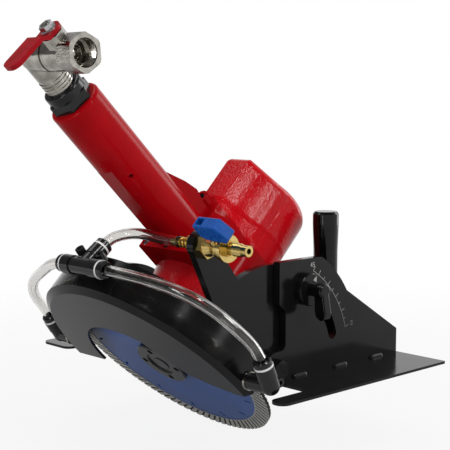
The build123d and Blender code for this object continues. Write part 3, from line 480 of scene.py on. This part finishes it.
def route_line(name, points):
    # The smooth line of a hose through its given route
    curve = bpy.data.curves.new(name, "CURVE")
    curve.dimensions = "3D"
    curve.resolution_u = HOSE_STEPS
    spline = curve.splines.new("NURBS")
    spline.points.add(len(points) - 1)
    for point, place in zip(spline.points, points):
        point.co = (*head_point(*place), 1.0)
    spline.order_u = 3
    spline.use_endpoint_u = True
    holder = bpy.data.objects.new(name + "_line", curve)
    scene.collection.objects.link(holder)
    mesh = bpy.data.meshes.new_from_object(holder)
    line = [vertex.co.copy() for vertex in mesh.vertices]
    bpy.data.objects.remove(holder)
    bpy.data.meshes.remove(mesh)
    return line


def ring_frames(line):
    # A place and two square directions for each ring, turned no more than the line turns
    frames = []
    side = (line[1] - line[0]).orthogonal().normalized()
    for i, at in enumerate(line):
        along = (line[min(i + 1, len(line) - 1)] - line[max(i - 1, 0)]).normalized()
        side = (side - along * side.dot(along)).normalized()
        frames.append((at, side, along.cross(side)))
    return frames


def ring_points(frames, radius):
    points = []
    for at, a, b in frames:
        for k in range(HOSE_SIDES):
            turn = 2 * math.pi * k / HOSE_SIDES
            points.append(at + (a * math.cos(turn) + b * math.sin(turn)) * radius)
    return points


def add_tube(name, line, outer, inner, look):
    # A hollow tube: an outer skin, an inner skin and two end rims
    frames = ring_frames(line)
    vertices = ring_points(frames, outer) + ring_points(frames, inner)
    sides = HOSE_SIDES
    bore = len(frames) * sides
    last = bore - sides
    faces = []
    for start in range(0, last, sides):
        for k in range(sides):
            p, q = start + k, start + (k + 1) % sides
            faces.append((p, q, q + sides, p + sides))
            faces.append((bore + q, bore + p, bore + p + sides, bore + q + sides))
    for k in range(sides):
        n = (k + 1) % sides
        faces.append((n, k, bore + k, bore + n))
        faces.append((last + k, last + n, bore + last + n, bore + last + k))
    piece = add_mesh(name, vertices, faces, look)
    piece.data.polygons.foreach_set("use_smooth", [True] * len(faces))
    return piece


def add_hose(name, points, look):
    line = route_line(name, points)
    piece = add_tube("clear_" + name, line, HOSE_R * MM, HOSE_BORE * MM, look)
    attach(piece, "head")
    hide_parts(name)


def add_hoses(look):
    add_hose("hose_supply", [
        tee_point(0, 19.7), tee_point(0, 27.4),
        (5.6, 12.6, 131.2), (11.5, 18.2, 128.2), (20.8, 21.0, 126.2), (33.0, 21.3, 124.4),
        (46.5, WATER_Y, WATER_Z), (59.0, WATER_Y, WATER_Z)], look)
    add_hose("hose_rear", [
        tee_point(-16, 0), tee_point(-34, 0),
        (-53.5, -24.0, 127.0), (-82.0, -25.0, 111.5), (-106.0, -24.4, 88.5),
        elbow_point(REAR_ELBOW, REAR_TURN, 28.6), elbow_point(REAR_ELBOW, REAR_TURN, 12.0)], look)
    add_hose("hose_front", [
        tee_point(16, 0), tee_point(34, 0),
        (63.5, -18.0, 130.0), (86.5, -15.8, 119.5), (102.5, -14.8, 104.0), (112.3, -15.0, 84.5),
        elbow_point(FRONT_ELBOW, FRONT_TURN, 28.6), elbow_point(FRONT_ELBOW, FRONT_TURN, 12.0)], look)


# Female pipe thread in the air inlet

def add_thread(look):
    # A three-cornered ridge that starts half a pitch in, winds along the wall and runs out at both ends
    turns = (INLET_X[1] - INLET_X[0] - THREAD_PITCH) / THREAD_PITCH
    count = int(turns * THREAD_STEPS)
    vertices = []
    for i in range(count + 1):
        angle = 2 * math.pi * i / THREAD_STEPS
        ends = (i / THREAD_STEPS / THREAD_RUN_OUT, (count - i) / THREAD_STEPS / THREAD_RUN_OUT)
        crest = THREAD_DEPTH * min(1.0, *ends)
        x = INLET_X[0] + THREAD_PITCH * (0.5 + i / THREAD_STEPS)
        for shift, radius in ((-THREAD_FOOT, INLET_R), (0.0, INLET_R - crest), (THREAD_FOOT, INLET_R)):
            vertices.append(head_point(x + shift * THREAD_PITCH, INLET_Y + radius * math.cos(angle),
                                       INLET_Z + radius * math.sin(angle)))
    faces = []
    for start in range(0, 3 * count, 3):
        for k in range(3):
            p, q = start + k, start + (k + 1) % 3
            faces.append((p, q, q + 3, p + 3))
    piece = add_mesh("inlet_thread", vertices, faces, look)
    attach(piece, "head")


# Paint over the motor's joint

def outline_reach(angle):
    # From the motor's axis to its outline
    across, rise = abs(math.cos(angle)), math.sin(angle)
    if rise < math.sin(BARREL_SIDE):
        return BARREL_R
    top = RIDGE_H / rise
    if top * across < RIDGE_W:
        return top
    foot = (BARREL_R * math.cos(BARREL_SIDE), BARREL_R * math.sin(BARREL_SIDE))
    normal = (RIDGE_H - foot[1], foot[0] - RIDGE_W)
    flank = (foot[0] * normal[0] + foot[1] * normal[1]) / (across * normal[0] + rise * normal[1])
    return max(BARREL_R, flank)


def add_joint_paint(look):
    width = len(JOINT_PAINT)
    first, last = JOINT_ARC
    vertices = []
    for i in range(JOINT_STEPS + 1):
        angle = first + (last - first) * i / JOINT_STEPS
        for along, height in JOINT_PAINT:
            reach = outline_reach(angle) + height
            vertices.append(head_point(reach * math.cos(angle), JOINT_Y + along,
                                       AXIS_Z + reach * math.sin(angle)))
    faces = []
    for start in range(0, JOINT_STEPS * width, width):
        for k in range(start, start + width - 1):
            faces.append((k, k + 1, k + 1 + width, k + width))
    piece = add_mesh("joint_paint", vertices, faces, look)
    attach(piece, "head")


# Light and floor

def add_lamp(name, place, size, power, length_way):
    # A lamp of width and length, with its length turned along a direction
    data = bpy.data.lights.new(name, "AREA")
    data.shape = "RECTANGLE"
    data.size, data.size_y = size
    data.energy = power
    lamp = bpy.data.objects.new(name, data)
    lamp.location = place
    back = (Vector(place) - Vector(LAMP_AIM)).normalized()
    length = Vector(length_way)
    length = (length - back * length.dot(back)).normalized()
    lamp.rotation_mode = "QUATERNION"
    lamp.rotation_quaternion = Matrix((length.cross(back), length, back)).transposed().to_quaternion()
    scene.collection.objects.link(lamp)


def add_lamps():
    for name, values in LAMPS.items():
        add_lamp(name, *values)


def add_world():
    # White where it is seen. Mirrors and clear pieces see the white backdrop behind the object and a
    # dimmer room in front of it, and as light the room is even.
    world = bpy.data.worlds.new("studio")
    scene.world = world
    shading = Shading(world)
    background = shading.tree.nodes["Background"]
    background.inputs["Color"].default_value = (1, 1, 1, 1)
    behind = shading.dot(shading.add("TexCoord").outputs["Generated"], BACKDROP_WAY)
    backdrop = shading.step(behind, *BACKDROP_SPAN, ROOM_LEVEL)
    path = shading.add("LightPath").outputs
    mirrored = shading.calc("MAXIMUM", path["Is Glossy Ray"], path["Is Transmission Ray"])
    strength = shading.add("MapRange")
    strength.inputs["To Min"].default_value = LIGHT_LEVEL
    shading.link(backdrop, strength.inputs["To Max"])
    shading.link(mirrored, strength.inputs["Value"])
    shown = shading.calc("MAXIMUM", path["Is Camera Ray"], strength.outputs["Result"])
    shading.link(shown, background.inputs["Strength"])


def floor_paper():
    # White paper: it takes the object's shadow close by and fades into the white backdrop. Mirrors see
    # the plain paper close by and white further off.
    look = Look("floor", PAPER, PAPER_ROUGHNESS)
    length = look.add("VectorMath")
    length.operation = "LENGTH"
    look.link(look.coords, length.inputs[0])
    reach = length.outputs["Value"]
    path = look.add("LightPath").outputs
    seen = look.calc("MAXIMUM", path["Is Camera Ray"], path["Is Transmission Ray"])
    seen = look.calc("MULTIPLY", seen, look.step(reach, *FLOOR_FADE, FLOOR_WHITE))
    mirrored = look.calc("MULTIPLY", path["Is Glossy Ray"], look.step(reach, *MIRROR_FADE, MIRROR_WHITE))
    mix = look.add("MixShader")
    look.link(look.calc("MAXIMUM", seen, mirrored), mix.inputs["Fac"])
    look.link(look.shader.outputs["BSDF"], mix.inputs[1])
    look.link(look.add("Emission").outputs["Emission"], mix.inputs[2])
    look.link(mix.outputs["Shader"], look.tree.nodes["Material Output"].inputs["Surface"])
    return look.material


def add_floor():
    half = FLOOR_HALF
    corners = [(-half, -half, 0), (half, -half, 0), (half, half, 0), (-half, half, 0)]
    floor = add_mesh("floor", corners, [(0, 1, 2, 3)], floor_paper())
    floor.location.z = FLOOR_Z


def dress_nodes(looks):
    for name, node in nodes.items():
        node.data.materials.clear()
        node.data.materials.append(looks[slot_of[name]])


add_camera()
looks = make_looks()
add_hoses(looks["clear_hose"])
add_thread(looks["nickel"])
add_joint_paint(looks["red_gloss"])
dress_nodes(looks)
add_world()
add_lamps()
add_floor()
scene.view_settings.view_transform = "Standard"
